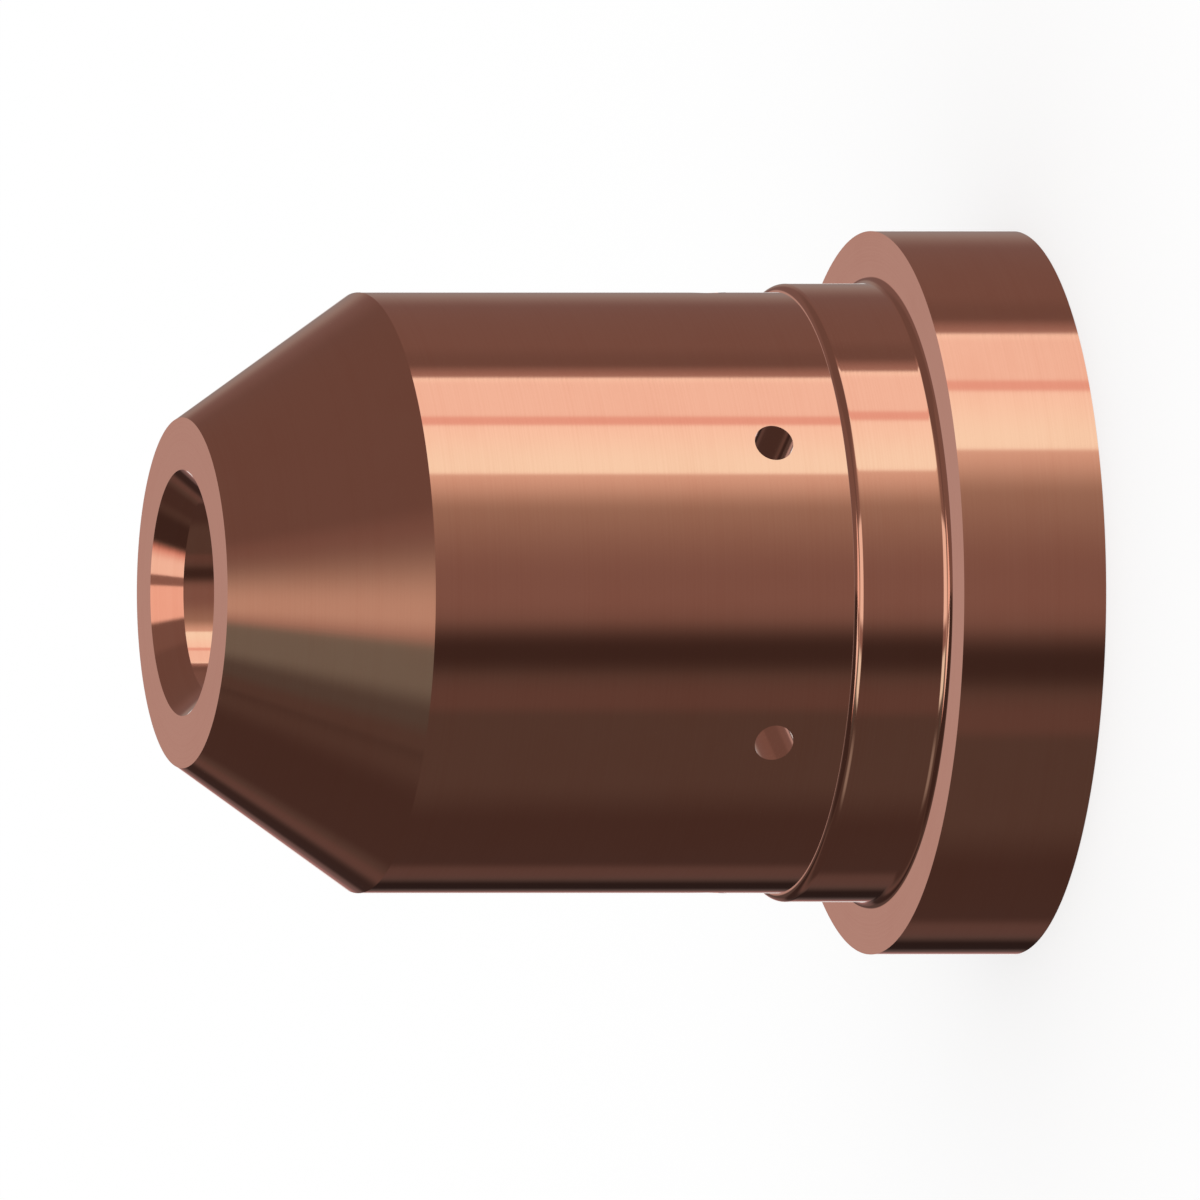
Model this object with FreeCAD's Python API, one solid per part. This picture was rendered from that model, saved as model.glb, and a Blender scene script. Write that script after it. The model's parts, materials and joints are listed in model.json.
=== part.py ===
import FreeCAD, Part
import math
import os

# Plasma torch nozzle, turned in one piece from copper bar and cross-drilled.
# Millimetres. The origin is the centre of the flange's back face, and +Z runs along the bore to the nose,
# so the nozzle stands on its flange with the nose up.

# Outside, from the flange to the nose
overall_length = 19.6
body_diameter = 13.7
nose_diameter = 8.0
nose_cone_length = 4.15
land_height = 0.2
land_length = 2.22
flange_width = 1.2
flange_thickness = 3.35
flange_root_radius = 0.2

# Bore at the nose: the mouth's countersink, the outlet and the short orifice that tightens the arc
orifice_diameter = 2.6
orifice_length = 1.8
outlet_step = 0.95
outlet_depth = 2.5
mouth_step = 0.56
mouth_depth = 0.63

# Bore from the back: the seat that slips over the torch head, then the gas chamber and its cone
chamber_wall = 1.75
chamber_cone_half_angle = 45.0
seat_step = 0.6
seat_depth = 2.2
seat_lead_in = 0.3

# Gas vents drilled straight through the wall, in one ring just ahead of the land
vent_count = 6
vent_diameter = 0.9
vent_setback = 1.65
drill_overrun = 1.0

# Radii of the outside
body_radius = body_diameter / 2
nose_radius = nose_diameter / 2
land_radius = body_radius + land_height
flange_radius = land_radius + flange_width

# Radii of the bore
orifice_radius = orifice_diameter / 2
outlet_radius = orifice_radius + outlet_step
mouth_radius = outlet_radius + mouth_step
chamber_radius = body_radius - chamber_wall
seat_radius = chamber_radius + seat_step
lead_in_radius = seat_radius + seat_lead_in

# Stations along the axis, measured from the back face
flange_front = flange_thickness
land_front = flange_front + land_length
vent_station = land_front + vent_setback
cone_back = overall_length - nose_cone_length
orifice_front = overall_length - outlet_depth
orifice_back = orifice_front - orifice_length
chamber_cone_length = (chamber_radius - orifice_radius) / math.tan(math.radians(chamber_cone_half_angle))
chamber_front = orifice_back - chamber_cone_length


def at(radius, station):
    """Gives the point of the half-section at this radius and station."""
    return FreeCAD.Vector(radius, 0, station)


def line(start, end):
    """Gives the straight edge between two points of the half-section."""
    return Part.LineSegment(start, end).toShape()


def quarter_round(start, centre, end):
    """Gives the quarter circle about centre that runs from start to end."""
    radius = (start - centre).Length
    middle = (start - centre) + (end - centre)
    return Part.Arc(start, centre + middle.normalize() * radius, end).toShape()


def outside_edges():
    """Gives the outside of the half-section, from the back of the flange to the nose."""
    back_rim = at(flange_radius, 0)
    front_rim = at(flange_radius, flange_front)
    root_face = at(land_radius + flange_root_radius, flange_front)
    root_centre = at(land_radius + flange_root_radius, flange_front + flange_root_radius)
    root_land = at(land_radius, flange_front + flange_root_radius)
    shoulder_land = at(land_radius, land_front - land_height)
    shoulder_centre = at(body_radius, land_front - land_height)
    shoulder_body = at(body_radius, land_front)
    cone_rim = at(body_radius, cone_back)
    nose_rim = at(nose_radius, overall_length)
    return [
        line(back_rim, front_rim),
        line(front_rim, root_face),
        quarter_round(root_face, root_centre, root_land),
        line(root_land, shoulder_land),
        quarter_round(shoulder_land, shoulder_centre, shoulder_body),
        line(shoulder_body, cone_rim),
        line(cone_rim, nose_rim),
    ]


def bore_edges():
    """Gives the bore of the half-section, from the mouth in the nose back to the flange."""
    corners = [
        at(mouth_radius, overall_length),
        at(outlet_radius, overall_length - mouth_depth),
        at(outlet_radius, orifice_front),
        at(orifice_radius, orifice_front),
        at(orifice_radius, orifice_back),
        at(chamber_radius, chamber_front),
        at(chamber_radius, seat_depth),
        at(seat_radius, seat_depth),
        at(seat_radius, seat_lead_in),
        at(lead_in_radius, 0),
    ]
    return [line(start, end) for start, end in zip(corners, corners[1:])]


def turned_blank():
    """Gives the nozzle as it leaves the lathe: its half-section turned about the axis."""
    outside = outside_edges()
    bore = bore_edges()
    nose_face = line(at(nose_radius, overall_length), at(mouth_radius, overall_length))
    back_face = line(at(lead_in_radius, 0), at(flange_radius, 0))
    section = Part.Face(Part.Wire(outside + [nose_face] + bore + [back_face]))
    return section.revolve(FreeCAD.Vector(0, 0, 0), FreeCAD.Vector(0, 0, 1), 360)


def vent_drill(angle):
    """Gives the drill's path through the wall at this angle about the axis."""
    start = at(0, vent_station)
    radius = vent_diameter / 2
    drill = Part.makeCylinder(radius, body_radius + drill_overrun, start, FreeCAD.Vector(1, 0, 0))
    return drill.rotate(start, FreeCAD.Vector(0, 0, 1), angle)


def nozzle():
    """Gives the finished nozzle: the blank with its ring of vents."""
    drills = [vent_drill(360 * place / vent_count) for place in range(vent_count)]
    return turned_blank().cut(Part.makeCompound(drills))


os.makedirs("parts", exist_ok=True)
nozzle().exportStep("parts/nozzle.step")
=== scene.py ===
"""Studio picture of a turned copper plasma torch nozzle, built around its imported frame."""

import json
import logging
import math
from dataclasses import dataclass, field
from enum import Enum
from typing import Any, Optional, Union

import bpy
from mathutils import Matrix, Vector


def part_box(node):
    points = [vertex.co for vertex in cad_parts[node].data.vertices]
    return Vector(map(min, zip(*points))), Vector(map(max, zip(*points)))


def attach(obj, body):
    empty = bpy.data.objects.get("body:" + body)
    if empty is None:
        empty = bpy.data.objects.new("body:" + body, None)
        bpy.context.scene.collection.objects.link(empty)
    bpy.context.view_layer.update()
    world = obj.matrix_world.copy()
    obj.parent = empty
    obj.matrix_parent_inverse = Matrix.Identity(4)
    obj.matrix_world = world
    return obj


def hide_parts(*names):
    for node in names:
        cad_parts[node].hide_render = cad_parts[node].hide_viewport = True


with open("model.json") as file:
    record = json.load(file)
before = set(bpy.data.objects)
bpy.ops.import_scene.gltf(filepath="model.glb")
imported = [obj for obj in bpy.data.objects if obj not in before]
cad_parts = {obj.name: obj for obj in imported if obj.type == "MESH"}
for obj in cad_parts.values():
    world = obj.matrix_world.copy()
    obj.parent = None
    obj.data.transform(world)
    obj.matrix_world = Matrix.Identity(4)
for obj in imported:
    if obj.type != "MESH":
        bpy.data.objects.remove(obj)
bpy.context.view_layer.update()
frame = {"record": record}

LOG = logging.getLogger("nozzle_scene")
MM = 0.001
NODE = "nozzle"
Number = Union[int, float]
Point = tuple[float, float, float]
Colour = tuple[float, float, float]


class Value:
    """A socket of a node tree that takes part in Python expressions."""

    def __init__(self, tree: bpy.types.NodeTree, socket: bpy.types.NodeSocket) -> None:
        """Wraps one output socket.

        Args:
            tree: The node tree that holds the socket.
            socket: The output socket.
        """
        self.tree = tree
        self.socket = socket

    def _maths(self, operation: str, *values: Any) -> "Value":
        """Adds a Math node.

        Args:
            operation: The Math node's operation.
            values: Its inputs, each a Value or a number.

        Returns:
            The node's output.
        """
        return Shader(self.tree).node("ShaderNodeMath", {"operation": operation}, dict(enumerate(values)))

    def __add__(self, other: Any) -> "Value":
        """Gives self + other."""
        return self._maths("ADD", self, other)

    def __radd__(self, other: Any) -> "Value":
        """Gives other + self."""
        return self._maths("ADD", other, self)

    def __sub__(self, other: Any) -> "Value":
        """Gives self - other."""
        return self._maths("SUBTRACT", self, other)

    def __rsub__(self, other: Any) -> "Value":
        """Gives other - self."""
        return self._maths("SUBTRACT", other, self)

    def __mul__(self, other: Any) -> "Value":
        """Gives self * other."""
        return self._maths("MULTIPLY", self, other)

    def __rmul__(self, other: Any) -> "Value":
        """Gives other * self."""
        return self._maths("MULTIPLY", other, self)

    def __truediv__(self, other: Any) -> "Value":
        """Gives self / other."""
        return self._maths("DIVIDE", self, other)

    def __rtruediv__(self, other: Any) -> "Value":
        """Gives other / self."""
        return self._maths("DIVIDE", other, self)

    def larger(self, other: Any) -> "Value":
        """Gives the larger of self and other."""
        return self._maths("MAXIMUM", self, other)

    def root(self) -> "Value":
        """Gives the square root."""
        return self._maths("SQRT", self)

    def arc_sine(self) -> "Value":
        """Gives the arc sine, in radians."""
        return self._maths("ARCSINE", self)

    def arc_tangent(self, across: Any) -> "Value":
        """Gives the angle whose tangent is self over across, in radians."""
        return self._maths("ARCTAN2", self, across)

    def rise(self, start: Number, end: Number) -> "Value":
        """Gives a smooth step.

        Args:
            start: Where it leaves 0.
            end: Where it reaches 1.

        Returns:
            The step, from 0 to 1.
        """
        settings = {"interpolation_type": "SMOOTHSTEP"}
        inputs = {"Value": self, "From Min": start, "From Max": end}
        return Shader(self.tree).node("ShaderNodeMapRange", settings, inputs)

    def under(self, limit: Number) -> "Value":
        """Gives 1 where self is under the limit, and 0 elsewhere."""
        return self._maths("LESS_THAN", self, limit)

    def between(self, span: tuple[Number, Number], feather: tuple[Number, Number]) -> "Value":
        """Gives a band with soft edges.

        Args:
            span: The middles of the lower and the upper edge.
            feather: The widths of the lower and the upper edge.

        Returns:
            1 inside the band, 0 outside it.
        """
        low, high = span
        low_half, high_half = (width / 2 for width in feather)
        return self.rise(low - low_half, low + low_half) * (1 - self.rise(high - high_half, high + high_half))


class Shader:
    """Adds nodes to one node tree.

    A Mix node's colour sockets share their names with its other sockets, so they are found by their places.
    """

    MIX_FACTOR = 0
    MIX_FIRST = 6
    MIX_SECOND = 7
    MIX_RESULT = 2

    def __init__(self, tree: bpy.types.NodeTree) -> None:
        """Takes the tree that nodes are added to."""
        self.tree = tree

    def node(self, kind: str, settings: Optional[dict] = None, inputs: Optional[dict] = None,
             output: Union[int, str] = 0) -> Optional[Value]:
        """Adds a node, sets it up and links it.

        Args:
            kind: The node's type.
            settings: Its properties, set before its inputs.
            inputs: Its inputs by name or place, each a Value or a plain value.
            output: The output that is wanted.

        Returns:
            That output, or None for a node that ends the tree.
        """
        made = self.tree.nodes.new(kind)
        for name, setting in (settings or {}).items():
            setattr(made, name, setting)
        for place, value in (inputs or {}).items():
            if isinstance(value, Value):
                self.tree.links.new(value.socket, made.inputs[place])
            else:
                made.inputs[place].default_value = value
        return Value(self.tree, made.outputs[output]) if len(made.outputs) else None

    def mix(self, factor: Any, first: Any, second: Any) -> Value:
        """Mixes two colours.

        Args:
            factor: 0 for the first colour and 1 for the second.
            first: A colour of four numbers, or a Value.
            second: A colour of four numbers, or a Value.

        Returns:
            The mixed colour.
        """
        settings = {"data_type": "RGBA", "blend_type": "MIX"}
        inputs = {self.MIX_FACTOR: factor, self.MIX_FIRST: first, self.MIX_SECOND: second}
        return self.node("ShaderNodeMix", settings, inputs, self.MIX_RESULT)

    def sibling(self, value: Value, name: str) -> Value:
        """Gives another output of the node that a value comes from."""
        return Value(self.tree, value.socket.node.outputs[name])

    def point(self) -> Value:
        """Gives the point that is shaded, in the object's own metres."""
        return self.node("ShaderNodeTexCoord", output="Object")

    def split(self, point: Value) -> tuple[Value, Value, Value]:
        """Gives the x, y and z of a point."""
        x = self.node("ShaderNodeSeparateXYZ", inputs={0: point})
        return x, self.sibling(x, "Y"), self.sibling(x, "Z")

    def surface(self, shader: Value) -> None:
        """Links a shader to the material's output."""
        self.node("ShaderNodeOutputMaterial", inputs={"Surface": shader})


def fresh_material(name: str) -> tuple[bpy.types.Material, Shader]:
    """Makes an empty node material.

    Args:
        name: The material's name.

    Returns:
        The material, and what adds nodes to it.
    """
    material = bpy.data.materials.new(name)
    material.use_nodes = True
    material.node_tree.nodes.clear()
    return material, Shader(material.node_tree)


def shade(colour: Colour, level: Number = 1.0) -> tuple[float, float, float, float]:
    """Gives a colour of four numbers: the tint times the level, and full alpha."""
    return (colour[0] * level, colour[1] * level, colour[2] * level, 1.0)


def placed(name: str, data: bpy.types.ID) -> bpy.types.Object:
    """Puts a mesh or a camera into the scene.

    Args:
        name: The name of its object.
        data: The mesh or the camera.

    Returns:
        The object.
    """
    made = bpy.data.objects.new(name, data)
    bpy.context.scene.collection.objects.link(made)
    return made


@dataclass(frozen=True)
class Copper:
    """Bare copper as a tool leaves it: fine rings about the axis, a faint tarnished tint in clouds, and
    painted shade and highlight along the rings.

    Each span gives the levels between which a noise rises from nothing to its full share. The lean lets the
    rings run over level faces and cones as they do over upright walls.
    """

    name: str
    roughness: float
    ring_roughness: float
    ring_pitch: float
    ring_depth: float
    colour: Colour = (0.92, 0.50, 0.34)
    tarnish_and_ring_shade: Colour = (0.86, 0.42, 0.275)
    tarnish_share: float = 0.3
    # How far the fine rings shift the colour, as painted shade and highlight of the lathe grooves.
    ring_painted_shade: float = 0.22
    ring_span: tuple[float, float] = (0.35, 0.65)
    ring_detail: float = 3.0
    lay_lean: float = 1.618
    broad_rings: float = 9.0
    broad_share: float = 0.4
    broad_span: tuple[float, float] = (0.4, 0.8)
    broad_detail: float = 1.0
    cloud_size: float = 2.4 * MM
    cloud_detail: float = 4.0
    cloud_grain: float = 0.6
    cloud_span: tuple[float, float] = (0.35, 0.75)
    dull_span: tuple[float, float] = (0.45, 0.8)
    dull_roughness: float = 0.02

    def material(self) -> bpy.types.Material:
        """Makes the finish.

        Returns:
            The material.
        """
        material, shader = fresh_material(self.name)
        point = shader.point()
        x, y, z = shader.split(point)
        along_section = z - (x * x + y * y).root() * self.lay_lean
        rings = self.noise(shader, along_section / self.ring_pitch, self.ring_detail)
        broad_pitch = self.ring_pitch * self.broad_rings
        broad_rings = self.noise(shader, along_section / broad_pitch, self.broad_detail)
        clouds = shader.node("ShaderNodeTexNoise", {"noise_dimensions": "3D"}, {
            "Vector": point, "Scale": 1 / self.cloud_size,
            "Detail": self.cloud_detail, "Roughness": self.cloud_grain})
        tarnish_and_ring_shade = clouds.rise(*self.cloud_span) + broad_rings.rise(*self.broad_span) * self.broad_share
        # The fine rings shift the colour darker and lighter in thin bands: painted shade and highlight of the
        # lathe grooves, on top of the tarnished clouds.
        tarnish_and_ring_shade = tarnish_and_ring_shade * self.tarnish_share + (rings.rise(*self.ring_span) - 0.5) * self.ring_painted_shade
        colour = shader.mix(tarnish_and_ring_shade, shade(self.colour), shade(self.tarnish_and_ring_shade))
        dulled = clouds.rise(*self.dull_span) * self.dull_roughness
        roughness = self.roughness + rings * self.ring_roughness + dulled
        bump = shader.node("ShaderNodeBump", inputs={
            "Strength": 1.0, "Distance": self.ring_depth, "Height": rings + broad_rings})
        metal = shader.node("ShaderNodeBsdfPrincipled", inputs={
            "Base Color": colour, "Metallic": 1.0, "Roughness": roughness, "Normal": bump})
        shader.surface(metal)
        return material

    @staticmethod
    def noise(shader: Shader, place: Value, detail: float) -> Value:
        """Gives noise that changes along one line only.

        Args:
            shader: What adds the node.
            place: The place along the line, in steps of the noise.
            detail: The number of finer layers.

        Returns:
            The noise, from 0 to 1.
        """
        inputs = {"W": place, "Scale": 1.0, "Detail": detail}
        return shader.node("ShaderNodeTexNoise", {"noise_dimensions": "1D"}, inputs)


class Cut(Enum):
    """The cuts that made the nozzle's surfaces, each with the finish that it leaves."""

    TURNED = Copper("turned_copper", 0.05, 0.035, 0.055 * MM, 0.0003 * MM)
    FACED = Copper("faced_copper", 0.07, 0.035, 0.08 * MM, 0.00025 * MM)
    BORED = Copper("bored_copper", 0.06, 0.04, 0.12 * MM, 0.0005 * MM)
    DRILLED = Copper("drilled_copper", 0.14, 0.0, 0.2 * MM, 0.0)

    @property
    def place(self) -> int:
        """Gives the place of the finish among the nozzle's material slots."""
        return list(Cut).index(self)


@dataclass(frozen=True)
class Row:
    """One ring of points of the turned form, with the direction that its surface faces there."""

    radius: float
    height: float
    facing_out: float
    facing_up: float


@dataclass
class HalfSection:
    """The nozzle's half-section, drawn as straight and round stretches from the back face outwards."""

    round_steps: int = 10
    stretches: list[tuple[Cut, list[Row]]] = field(default_factory=list)

    def straight(self, start: tuple[float, float], end: tuple[float, float], cut: Cut = Cut.TURNED,
                 heights: tuple[float, ...] = ()) -> None:
        """Adds a straight stretch with the metal on its left.

        Args:
            start: Radius and height of its start.
            end: Radius and height of its end.
            cut: The cut that makes it.
            heights: The heights of further rings on an upright stretch.
        """
        across, up = end[0] - start[0], end[1] - start[1]
        length = math.hypot(across, up)
        facing = (up / length, -across / length)
        points = [start, *((start[0], height) for height in heights), end]
        self.stretches.append((cut, [Row(*point, *facing) for point in points]))

    def quarter(self, centre: tuple[float, float], size: float, start: float, turn: float,
                hollow: bool) -> None:
        """Adds a quarter round.

        Args:
            centre: Radius and height of its centre.
            size: Its radius.
            start: The angle where it starts, in degrees above the level.
            turn: The angle that it covers, in degrees.
            hollow: Whether it is a hollow fillet and not a rounded corner.
        """
        side = -1 if hollow else 1
        rows = []
        for step in range(self.round_steps + 1):
            angle = math.radians(start + turn * step / self.round_steps)
            out, up = math.cos(angle), math.sin(angle)
            rows.append(Row(centre[0] + size * out, centre[1] + size * up, side * out, side * up))
        self.stretches.append((Cut.TURNED, rows))


@dataclass
class MeshMaker:
    """Collects points and faces, each face with the true direction of the surface at its corners."""

    points: list[Point] = field(default_factory=list)
    faces: list[tuple[int, ...]] = field(default_factory=list)
    facings: list[Point] = field(default_factory=list)
    slots: list[int] = field(default_factory=list)
    known: dict[tuple[int, int, int], int] = field(default_factory=dict)
    weld: float = 1e-8

    def point(self, place: Point) -> int:
        """Gives the number of the point at a place, and adds it where it is new.

        Args:
            place: Where the point lies.

        Returns:
            The point's number.
        """
        key = tuple(round(value / self.weld) for value in place)
        if key not in self.known:
            self.known[key] = len(self.points)
            self.points.append(place)
        return self.known[key]

    def face(self, corners: list[tuple[Point, Point]], slot: int = 0) -> None:
        """Adds a face, leaving out a corner that lies on the one before it.

        Args:
            corners: Its corners in turn, each with its place and the direction of the surface.
            slot: The place of its material.
        """
        numbers = [self.point(place) for place, _ in corners]
        kept = [corner for corner, number in enumerate(numbers) if number != numbers[corner - 1]]
        self.faces.append(tuple(numbers[corner] for corner in kept))
        self.facings.extend(corners[corner][1] for corner in kept)
        self.slots.append(slot)

    def strip(self, first: list[tuple[Point, Point]], second: list[tuple[Point, Point]], slot: int) -> None:
        """Adds the faces between two closed loops.

        Args:
            first: The first loop's corners in turn.
            second: The second loop's corners, as many and in the same order.
            slot: The place of the faces' material.
        """
        for place in range(len(first)):
            following = (place + 1) % len(first)
            self.face([first[place], second[place], second[following], first[following]], slot)

    def piece(self, name: str) -> bpy.types.Object:
        """Makes the mesh and puts it into the scene.

        Args:
            name: The name of the object and of its mesh.

        Returns:
            The object, shaded smooth by its own directions.
        """
        mesh = bpy.data.meshes.new(name)
        mesh.from_pydata(self.points, [], self.faces)
        mesh.polygons.foreach_set("use_smooth", [True] * len(mesh.polygons))
        mesh.polygons.foreach_set("material_index", self.slots)
        mesh.normals_split_custom_set(self.facings)
        mesh.update()
        return placed(name, mesh)


def record_mount(name: str) -> dict:
    """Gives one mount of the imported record."""
    return next(mount for mount in frame["record"]["mounts"] if mount["name"] == name)


def mount_radius(name: str) -> float:
    """Gives a round mount's radius, in metres."""
    return record_mount(name)["dims"]["r_mm"] * MM


@dataclass
class Nozzle:
    """The nozzle: one turned copper body with a ring of drilled vents."""

    nose_radius: float = 4.0 * MM
    nose_cone_length: float = 4.15 * MM
    land_height: float = 0.2 * MM
    land_length: float = 2.22 * MM
    root_radius: float = 0.2 * MM
    outlet_depth: float = 2.5 * MM
    mouth_step: float = 0.56 * MM
    mouth_depth: float = 0.63 * MM
    chamber_cone_half_angle: float = 45.0
    seat_depth: float = 2.2 * MM
    seat_lead_in: float = 0.3 * MM
    vent_count: int = 6
    vent_radius: float = 0.45 * MM
    vent_setback: float = 1.65 * MM
    patch_height: float = 0.75 * MM
    patch_rows: int = 16
    patch_columns: int = 16
    patch_loops: int = 6
    patch_growth: float = 1.5
    vent_loops: int = 4
    segments: int = 360
    length: float = field(init=False)
    flange_radius: float = field(init=False)
    flange_front: float = field(init=False)
    land_radius: float = field(init=False)
    land_front: float = field(init=False)
    body_radius: float = field(init=False)
    vent_height: float = field(init=False)
    seat_radius: float = field(init=False)
    chamber_radius: float = field(init=False)
    outlet_radius: float = field(init=False)
    orifice_radius: float = field(init=False)
    orifice_length: float = field(init=False)

    def __post_init__(self) -> None:
        """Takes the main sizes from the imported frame, and works out what follows from them."""
        low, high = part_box(NODE)
        self.length = high.z - low.z
        self.flange_radius = (high.x - low.x) / 2
        self.flange_front = record_mount("flange_shoulder")["pos_m"][2]
        self.land_radius = mount_radius("land")
        self.land_front = self.flange_front + self.land_length
        self.body_radius = self.land_radius - self.land_height
        self.vent_height = self.land_front + self.vent_setback
        self.seat_radius = mount_radius("seat")
        self.chamber_radius = mount_radius("chamber")
        self.outlet_radius = mount_radius("outlet")
        self.orifice_radius = mount_radius("orifice")
        self.orifice_length = record_mount("orifice")["dims"]["length_mm"] * MM

    def build(self) -> bpy.types.Object:
        """Builds the nozzle and lets it stand for its node.

        Returns:
            The nozzle's object.
        """
        maker = MeshMaker()
        for cut, rows in self.half_section().stretches:
            for lower, upper in zip(rows, rows[1:]):
                self.turn(maker, lower, upper, cut)
        for place in range(self.vent_count):
            self.vent(maker, math.tau * place / self.vent_count)
        piece = maker.piece("turned_nozzle")
        for cut in Cut:
            piece.data.materials.append(cut.value.material())
        # As in the photograph, the nozzle mirrors the tent alone and not itself.
        piece.visible_glossy = False
        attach(piece, "root")
        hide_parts(NODE)
        return piece

    def half_section(self) -> HalfSection:
        """Draws the half-section, from the back of the flange round to the lead-in of the seat.

        Returns:
            The half-section.
        """
        section = HalfSection()
        root_out = self.land_radius + self.root_radius
        root_top = self.flange_front + self.root_radius
        shoulder_base = self.land_front - self.land_height
        cone_base = self.length - self.nose_cone_length
        mouth_radius = self.outlet_radius + self.mouth_step
        mouth_base = self.length - self.mouth_depth
        outlet_base = self.length - self.outlet_depth
        orifice_base = outlet_base - self.orifice_length
        chamber_step = self.chamber_radius - self.orifice_radius
        chamber_front = orifice_base - chamber_step / math.tan(math.radians(self.chamber_cone_half_angle))
        lead_in_radius = self.seat_radius + self.seat_lead_in
        rows = self.patch_heights()
        section.straight((lead_in_radius, 0), (self.flange_radius, 0), Cut.FACED)
        section.straight((self.flange_radius, 0), (self.flange_radius, self.flange_front))
        section.straight((self.flange_radius, self.flange_front), (root_out, self.flange_front), Cut.FACED)
        section.quarter((root_out, root_top), self.root_radius, 270, -90, hollow=True)
        section.straight((self.land_radius, root_top), (self.land_radius, shoulder_base))
        section.quarter((self.body_radius, shoulder_base), self.land_height, 0, 90, hollow=False)
        section.straight((self.body_radius, self.land_front), (self.body_radius, cone_base), heights=rows)
        section.straight((self.body_radius, cone_base), (self.nose_radius, self.length))
        section.straight((self.nose_radius, self.length), (mouth_radius, self.length), Cut.FACED)
        section.straight((mouth_radius, self.length), (self.outlet_radius, mouth_base))
        bore = [
            (self.outlet_radius, mouth_base),
            (self.outlet_radius, outlet_base),
            (self.orifice_radius, outlet_base),
            (self.orifice_radius, orifice_base),
            (self.chamber_radius, chamber_front),
            (self.chamber_radius, self.seat_depth),
            (self.seat_radius, self.seat_depth),
            (self.seat_radius, self.seat_lead_in),
            (lead_in_radius, 0),
        ]
        for start, end in zip(bore, bore[1:]):
            drilled = start[0] == end[0] == self.chamber_radius
            section.straight(start, end, Cut.BORED, rows[::-1] if drilled else ())
        return section

    def patch_heights(self) -> tuple[float, ...]:
        """Works out the rings that cross the vents.

        Returns:
            Their heights, from the lowest up.
        """
        base = self.vent_height - self.patch_height
        step = 2 * self.patch_height / self.patch_rows
        return tuple(base + step * row for row in range(self.patch_rows + 1))

    @staticmethod
    def corner(radius: float, height: float, angle: float, out: float, up: float) -> tuple[Point, Point]:
        """Gives a point of the turned form and its direction.

        Args:
            radius: Its distance from the axis.
            height: Its height.
            angle: Its angle about the axis, in radians.
            out: How far the surface faces outwards there.
            up: How far the surface faces upwards there.

        Returns:
            The place and the direction.
        """
        across, along = math.cos(angle), math.sin(angle)
        return (radius * across, radius * along, height), (out * across, out * along, up)

    def turn(self, maker: MeshMaker, lower: Row, upper: Row, cut: Cut) -> None:
        """Turns one step of the half-section round the axis, leaving room for the vents' patches.

        Args:
            maker: What collects the faces.
            lower: The step's first ring.
            upper: The step's second ring.
            cut: The cut that makes it.
        """
        heights = self.patch_heights()
        middle = (lower.height + upper.height) / 2
        drilled = lower.radius == upper.radius and heights[0] < middle < heights[-1]
        drilled = drilled and lower.radius in (self.body_radius, self.chamber_radius)
        for segment in range(self.segments):
            if drilled and self.in_patch(segment):
                continue
            near, far = (math.tau * (segment + side) / self.segments for side in (0, 1))
            maker.face([
                self.corner(row.radius, row.height, angle, row.facing_out, row.facing_up)
                for row, angle in ((lower, near), (lower, far), (upper, far), (upper, near))
            ], cut.place)

    def in_patch(self, segment: int) -> bool:
        """Tells whether a segment of the turned form lies in a vent's patch.

        Args:
            segment: The segment's number, counted round from the first vent's middle.

        Returns:
            Whether it does.
        """
        spacing = self.segments // self.vent_count
        half = self.patch_columns // 2
        return (segment + half) % spacing < self.patch_columns

    def patch_edge(self) -> list[tuple[float, float]]:
        """Gives the corners round a vent's patch.

        Returns:
            The angle and the height of each corner from the vent's middle, in turn.
        """
        half = self.patch_columns // 2
        step = math.tau / self.segments
        heights = [height - self.vent_height for height in self.patch_heights()]
        right = [(half * step, height) for height in heights[:-1]]
        top = [(column * step, heights[-1]) for column in range(half, -half, -1)]
        left = [(-half * step, height) for height in heights[:0:-1]]
        bottom = [(column * step, heights[0]) for column in range(-half, half)]
        return right + top + left + bottom

    def vent(self, maker: MeshMaker, angle: float) -> None:
        """Drills one vent: its patch on the body, its wall, and its patch in the chamber.

        Args:
            maker: What collects the faces.
            angle: The vent's angle about the axis, in radians.
        """
        edge = self.patch_edge()
        bearings = [math.atan2(height, turn * self.body_radius) for turn, height in edge]
        self.patch(maker, angle, edge, bearings, self.body_radius, 1)
        self.patch(maker, angle, edge, bearings, self.chamber_radius, -1)
        loops = []
        for step in range(self.vent_loops + 1):
            share = step / self.vent_loops
            loops.append([self.vent_corner(angle, bearing, share) for bearing in bearings])
        for outer, inner in zip(loops, loops[1:]):
            maker.strip(inner, outer, Cut.DRILLED.place)

    def vent_corner(self, angle: float, bearing: float, share: float) -> tuple[Point, Point]:
        """Gives a point of a vent's wall.

        Args:
            angle: The vent's angle about the nozzle's axis, in radians.
            bearing: The point's angle about the vent's own axis, in radians.
            share: 0 at the body's surface and 1 at the chamber's.

        Returns:
            The place and the direction, which is towards the vent's own axis.
        """
        side, rise = self.vent_radius * math.cos(bearing), self.vent_radius * math.sin(bearing)
        outer = math.sqrt(self.body_radius ** 2 - side ** 2)
        inner = math.sqrt(self.chamber_radius ** 2 - side ** 2)
        reach = outer + (inner - outer) * share
        across, along = math.cos(angle), math.sin(angle)
        place = (reach * across - side * along, reach * along + side * across, self.vent_height + rise)
        facing = (math.cos(bearing) * along, -math.cos(bearing) * across, -math.sin(bearing))
        return place, facing

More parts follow.
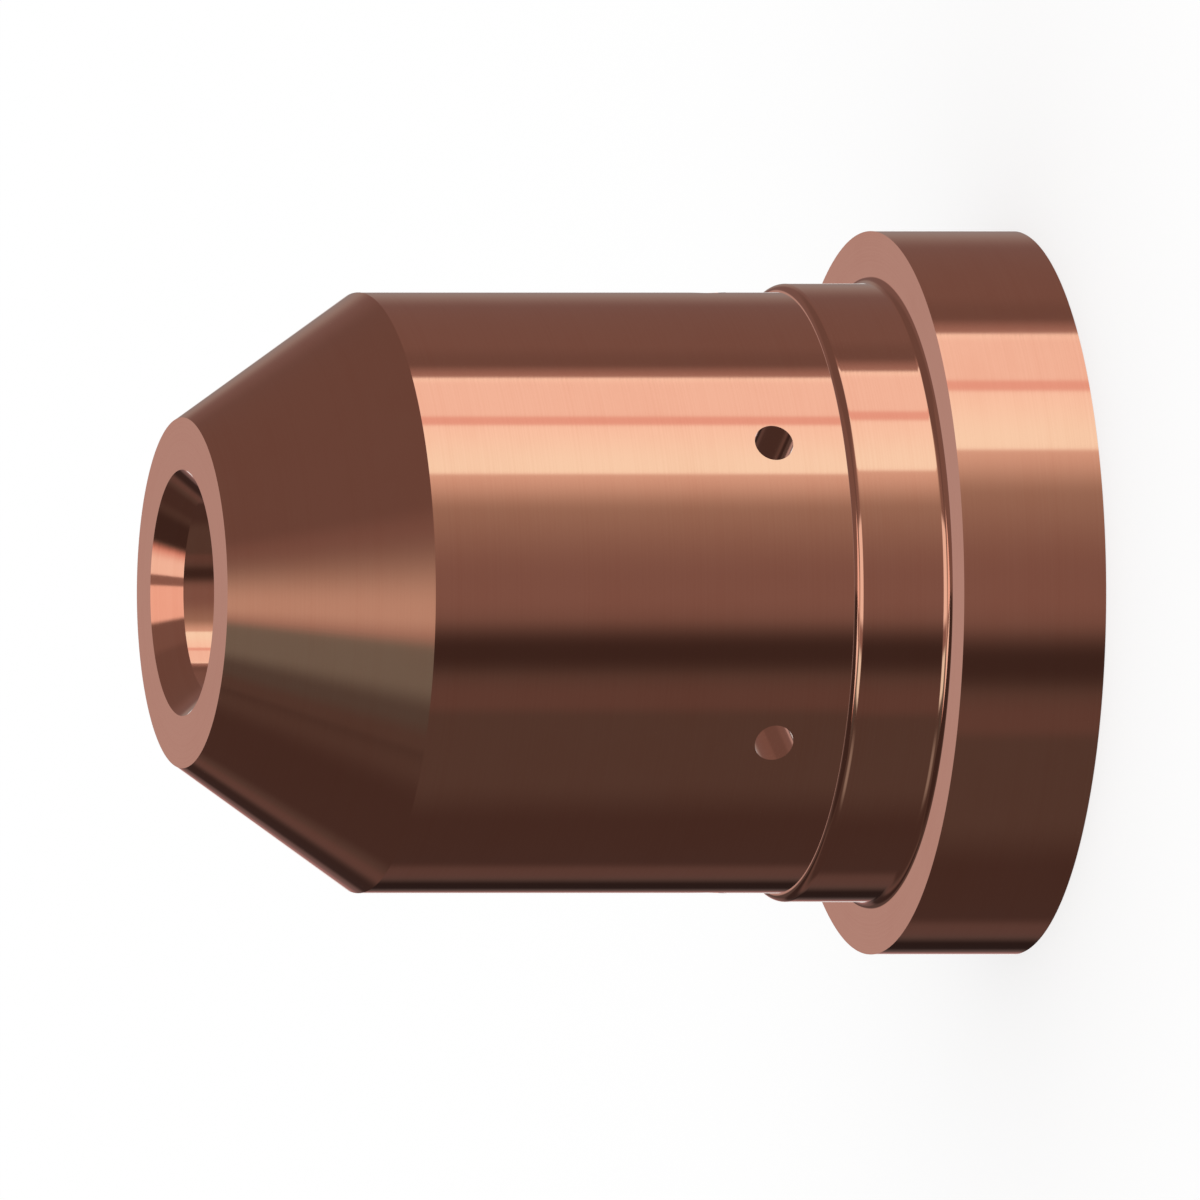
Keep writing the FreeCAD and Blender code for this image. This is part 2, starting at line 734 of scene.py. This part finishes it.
    def patch(self, maker: MeshMaker, angle: float, edge: list[tuple[float, float]], bearings: list[float],
              radius: float, side: int) -> None:
        """Fills the patch between the turned rings and a vent's mouth.

        Args:
            maker: What collects the faces.
            angle: The vent's angle about the axis, in radians.
            edge: The patch's corners, from the vent's middle.
            bearings: The bearing of each corner about the vent's own axis.
            radius: The radius of the surface that the patch lies on.
            side: 1 on the body and -1 in the chamber.
        """
        loops = []
        for loop in range(self.patch_loops + 1):
            share = (loop / self.patch_loops) ** self.patch_growth
            corners = []
            for (turn, height), bearing in zip(edge, bearings):
                mouth_turn = math.asin(self.vent_radius * math.cos(bearing) / radius)
                mouth_height = self.vent_radius * math.sin(bearing)
                turned = mouth_turn + (turn - mouth_turn) * share
                raised = self.vent_height + mouth_height + (height - mouth_height) * share
                corners.append(self.corner(radius, raised, angle + turned, side, 0))
            loops.append(corners)
        for inner, outer in zip(loops, loops[1:]):
            if side > 0:
                maker.strip(inner, outer, Cut.TURNED.place)
            else:
                maker.strip(outer, inner, Cut.BORED.place)


class Warmth(Enum):
    """The tints of the cloths in the studio."""

    COOL = (0.87, 1.0, 0.98)
    WHITE = (1.0, 1.0, 1.0)
    PEARL = (1.0, 0.93, 0.94)
    CREAM = (1.0, 0.84, 0.79)
    HONEY = (1.0, 0.81, 0.73)
    OLIVE = (1.0, 0.79, 0.77)
    BLUSH = (1.0, 0.77, 0.75)
    ROSE = (1.0, 0.70, 0.69)
    EMBER = (1.0, 0.55, 0.52)


@dataclass(frozen=True)
class Panel:
    """One softbox, card or flag on the tent's wall, with angles in degrees seen from the nozzle.

    A bearing of 0 is towards the camera, and 90 is towards the side that the picture shows at the top.
    """

    name: str
    bearing: tuple[float, float]
    height: tuple[float, float]
    feather: tuple[float, float]
    level: float
    warmth: Warmth = Warmth.ROSE
    height_feather: tuple[float, float] = (8.0, 8.0)


@dataclass
class LightTent:
    """A round tent of cloth about the nozzle, which only its polished surfaces see.

    A later panel hangs in front of an earlier one. For a panel that ends past back_from, bearings under
    wrap_below count on through 180 degrees, so that it can reach across the back of the tent.
    """

    radius: float = 1.0
    rings: int = 48
    segments: int = 96
    wall_level: float = 0.19
    low_wall_level: float = 0.091
    wall_blend: tuple[float, float] = (0.0, 35.0)
    back_from: float = 150.0
    wrap_below: float = -90.0
    panels: tuple[Panel, ...] = (
        Panel("high_wall", (38, 146), (2, 54), (14, 16), 0.153, Warmth.ROSE, (8, 4)),
        Panel("front_fill", (-14, 56), (-60, 40), (26, 26), 0.22),
        Panel("key_spill", (24, 60), (-60, 12), (38, 20), 0.375, Warmth.HONEY, (8, 24)),
        Panel("key_glow", (39, 60), (-60, 4), (16, 20), 0.72, Warmth.CREAM, (8, 16)),
        Panel("key_shade", (97, 106), (-60, 4), (4, 10), 0.165, Warmth.ROSE, (8, 16)),
        Panel("key_halo", (88, 95), (-60, 4), (4, 7), 0.36, Warmth.ROSE, (8, 16)),
        Panel("dark_flag", (-29.5, -15), (-60, 4), (11, 13), 0.048, Warmth.ROSE, (8, 16)),
        Panel("low_fill", (-46, -34), (-60, 40), (6, 12), 0.12),
        Panel("low_shade", (-133, -88), (-60, 40), (8, 24), 0.064),
        Panel("far_low_fill", (-143, -131), (-60, 0), (8, 10), 0.11),
        Panel("far_high_fill", (-147, -138), (0, 40), (6, 6), 0.12),
        Panel("far_flag", (-161, -147), (-60, -6), (6, 9), 0.024, Warmth.ROSE, (8, 10)),
        Panel("far_high_flag", (-161, -147), (-6, 40), (6, 9), 0.04, Warmth.ROSE, (10, 8)),
        Panel("rear_card", (153, 176), (-60, 2), (22, 20), 0.295, Warmth.CREAM),
        Panel("rear_wall", (172, 188), (10.5, 22), (5, 5), 0.468, Warmth.BLUSH, (3, 5)),
        Panel("ember_glow", (178, 199), (-9, 6), (4, 6), 0.16, Warmth.ROSE, (6, 6)),
        Panel("ember_card", (183, 193), (-60, -2), (4, 7), 0.36, Warmth.EMBER, (8, 10)),
        Panel("side_card", (-82, -57), (-2, 24), (16, 16), 0.27, Warmth.WHITE, (16, 16)),
        Panel("high_flag", (-180, -76), (43, 95), (4, 4), 0.048),
        Panel("key_rim", (85.5, 91.2), (-60, 2), (5, 1.4), 1.04, Warmth.WHITE),
        Panel("key_left", (70.6, 89), (-60, 2), (1.6, 3), 0.975, Warmth.PEARL),
        Panel("key_right", (46.6, 68.6), (-60, 2), (1.6, 1.6), 1.03, Warmth.WHITE),
        Panel("key_right_cool", (46.6, 59), (-60, 2), (1.6, 20), 1.18, Warmth.COOL),
        Panel("key_seam", (67.6, 71.6), (-60, 2), (1.8, 1.8), 0.86),
        Panel("window_bar", (-36, -8), (8, 95), (6, 4), 0.27),
        Panel("grey_haze", (-66, -45), (38, 55), (10, 10), 0.09, Warmth.WHITE, (8, 4)),
        Panel("grey_card", (-52, -24), (42, 55), (14, 10), 0.19, Warmth.COOL, (8, 4)),
        Panel("overhead_glow", (-21.3, 13), (44, 58), (19, 44), 0.52, Warmth.CREAM, (8, 6)),
        Panel("window_left", (-43, -23), (12, 42), (8, 6), 0.98, Warmth.COOL),
        Panel("window_right", (-12, 28), (6, 47), (6, 6), 0.9, Warmth.PEARL),
        Panel("overhead_right", (-13, 48), (61, 95), (5, 8), 0.93, Warmth.BLUSH, (4, 8)),
        Panel("overhead_halo", (-76, -31), (59, 68), (4, 4), 0.75, Warmth.EMBER, (4, 6)),
        Panel("overhead_left", (-74, -31), (61.5, 95), (4, 4), 0.96, Warmth.PEARL, (5, 8)),
        Panel("open_back", (175, 187), (-60, 0), (6, 4), 1.0, Warmth.WHITE),
    )

    def build(self) -> bpy.types.Object:
        """Builds the tent.

        Returns:
            The tent's object, seen by reflections alone.
        """
        maker = MeshMaker()
        for ring in range(self.rings):
            low, high = (math.pi * ((ring + side) / self.rings - 0.5) for side in (0, 1))
            for segment in range(self.segments):
                near, far = (math.tau * (segment + side) / self.segments for side in (0, 1))
                corners = []
                for rise, turn in ((low, near), (high, near), (high, far), (low, far)):
                    level = math.cos(rise)
                    out = Vector((level * math.cos(turn), level * math.sin(turn), math.sin(rise)))
                    corners.append((tuple(out * self.radius), tuple(-out)))
                maker.face(corners)
        tent = maker.piece("light_tent")
        tent.data.materials.append(self.material())
        tent.visible_camera = False
        tent.visible_diffuse = False
        tent.visible_transmission = False
        tent.visible_volume_scatter = False
        tent.visible_shadow = False
        return tent

    def material(self) -> bpy.types.Material:
        """Makes the tent's cloth with its panels.

        Returns:
            The material, which glows as the lit cloth does.
        """
        material, shader = fresh_material("tent_cloth")
        x, y, z = shader.split(shader.point())
        bearing = x.arc_tangent(y * -1) * math.degrees(1)
        full_bearing = bearing + 360 * bearing.under(self.wrap_below)
        height = (z / self.radius).arc_sine() * math.degrees(1)
        cloth = shader.mix(bearing.rise(*self.wall_blend), shade(Warmth.OLIVE.value, self.low_wall_level),
                           shade(Warmth.ROSE.value, self.wall_level))
        for panel in self.panels:
            around = full_bearing if panel.bearing[1] > self.back_from else bearing
            mask = around.between(panel.bearing, panel.feather)
            mask *= height.between(panel.height, panel.height_feather)
            cloth = shader.mix(mask, cloth, shade(panel.warmth.value, panel.level))
            cloth.socket.node.label = panel.name
        glow = shader.node("ShaderNodeBsdfPrincipled", inputs={
            "Base Color": shade((0, 0, 0)), "Roughness": 1.0, "Specular IOR Level": 0.0,
            "Emission Color": cloth, "Emission Strength": 1.0})
        shader.surface(glow)
        # Reflections find the tent by themselves, and it lights nothing else.
        material.cycles.emission_sampling = "NONE"
        return material


@dataclass
class Floor:
    """The plain white floor, a hair under the nozzle's back face."""

    radius: float = 1.2
    segments: int = 96
    sink: float = 0.01 * MM
    colour: Colour = (1.0, 1.0, 1.0)
    shadow_share: float = 0.3

    def build(self) -> bpy.types.Object:
        """Builds the floor.

        Returns:
            The floor's object.
        """
        maker = MeshMaker()
        corners = []
        for segment in range(self.segments):
            turn = math.tau * segment / self.segments
            place = (self.radius * math.cos(turn), self.radius * math.sin(turn), -self.sink)
            corners.append((place, (0.0, 0.0, 1.0)))
        maker.face(corners)
        floor = maker.piece("floor")
        floor.data.materials.append(self.material())
        # The photographed sides mirror no white floor, although they mirror what lies below the level line.
        floor.visible_glossy = False
        return floor

    def material(self) -> bpy.types.Material:
        """Makes the floor's paint, white to the camera but for a soft shadow.

        Returns:
            The floor's material.
        """
        material, shader = fresh_material("floor_paint")
        paint = shader.node("ShaderNodeBsdfDiffuse", inputs={"Color": shade(self.colour)})
        white = shader.node("ShaderNodeEmission", inputs={"Color": shade(self.colour), "Strength": 1.0})
        seen = shader.node("ShaderNodeLightPath", output="Is Camera Ray")
        glossy = shader.sibling(seen, "Is Glossy Ray")
        through = shader.sibling(seen, "Is Transmission Ray")
        share = seen.larger(glossy).larger(through) * (1 - self.shadow_share)
        shader.surface(shader.node("ShaderNodeMixShader", inputs={0: share, 1: paint, 2: white}))
        return material


@dataclass
class Daylight:
    """The even white light all round."""

    colour: Colour = (1.0, 1.0, 1.0)
    strength: float = 1.0

    def build(self) -> None:
        """Sets up the world, which is white to the camera and lights the floor."""
        world = bpy.data.worlds.new("white_room")
        world.use_nodes = True
        world.node_tree.nodes.clear()
        shader = Shader(world.node_tree)
        light = shader.node("ShaderNodeBackground", inputs={
            "Color": shade(self.colour), "Strength": self.strength})
        shader.node("ShaderNodeOutputWorld", inputs={"Surface": light})
        bpy.context.scene.world = world


@dataclass
class PictureCamera:
    """The camera at the photograph's angle: the nozzle's axis lies level in the picture, nose to the left."""

    elevation: float = 15.0
    picture_px: float = 1200.0
    flange_px: float = 723.5
    axis_px: float = 592.8
    back_face_px: float = 1012.6
    distance: float = 0.25
    near_clip: float = 0.0025
    far_clip: float = 5.0

    def build(self, flange_width: float) -> bpy.types.Object:
        """Sets the camera up.

        Args:
            flange_width: The flange's true diameter, in metres, which sets the scale.

        Returns:
            The camera.
        """
        px = flange_width / self.flange_px
        tilt = math.radians(self.elevation)
        right = Vector((0, -math.sin(tilt), -math.cos(tilt)))
        up = Vector((1, 0, 0))
        back = right.cross(up)
        middle_px = self.picture_px / 2
        aim = Vector((0, 0, (self.back_face_px - middle_px) * px / math.cos(tilt)))
        aim += up * ((self.axis_px - middle_px) * px)
        lens = bpy.data.cameras.new("picture_camera")
        lens.type = "ORTHO"
        lens.ortho_scale = self.picture_px * px
        lens.clip_start = self.near_clip
        lens.clip_end = self.far_clip
        camera = placed("picture_camera", lens)
        turn = Matrix((right, up, back)).transposed().to_4x4()
        camera.matrix_world = Matrix.Translation(aim + back * self.distance) @ turn
        bpy.context.scene.camera = camera
        return camera


def main() -> None:
    """Builds the nozzle, its studio and its camera, in order."""
    logging.basicConfig(level=logging.INFO)
    bpy.context.scene.view_settings.view_transform = "Standard"
    nozzle = Nozzle()
    piece = nozzle.build()
    LOG.info("%s: %d faces", piece.name, len(piece.data.polygons))
    for stage_piece in (LightTent().build(), Floor().build()):
        LOG.info("%s: stage", stage_piece.name)
    Daylight().build()
    camera = PictureCamera().build(2 * nozzle.flange_radius)
    LOG.info("%s: ready", camera.name)


if __name__ == "__main__":
    main()
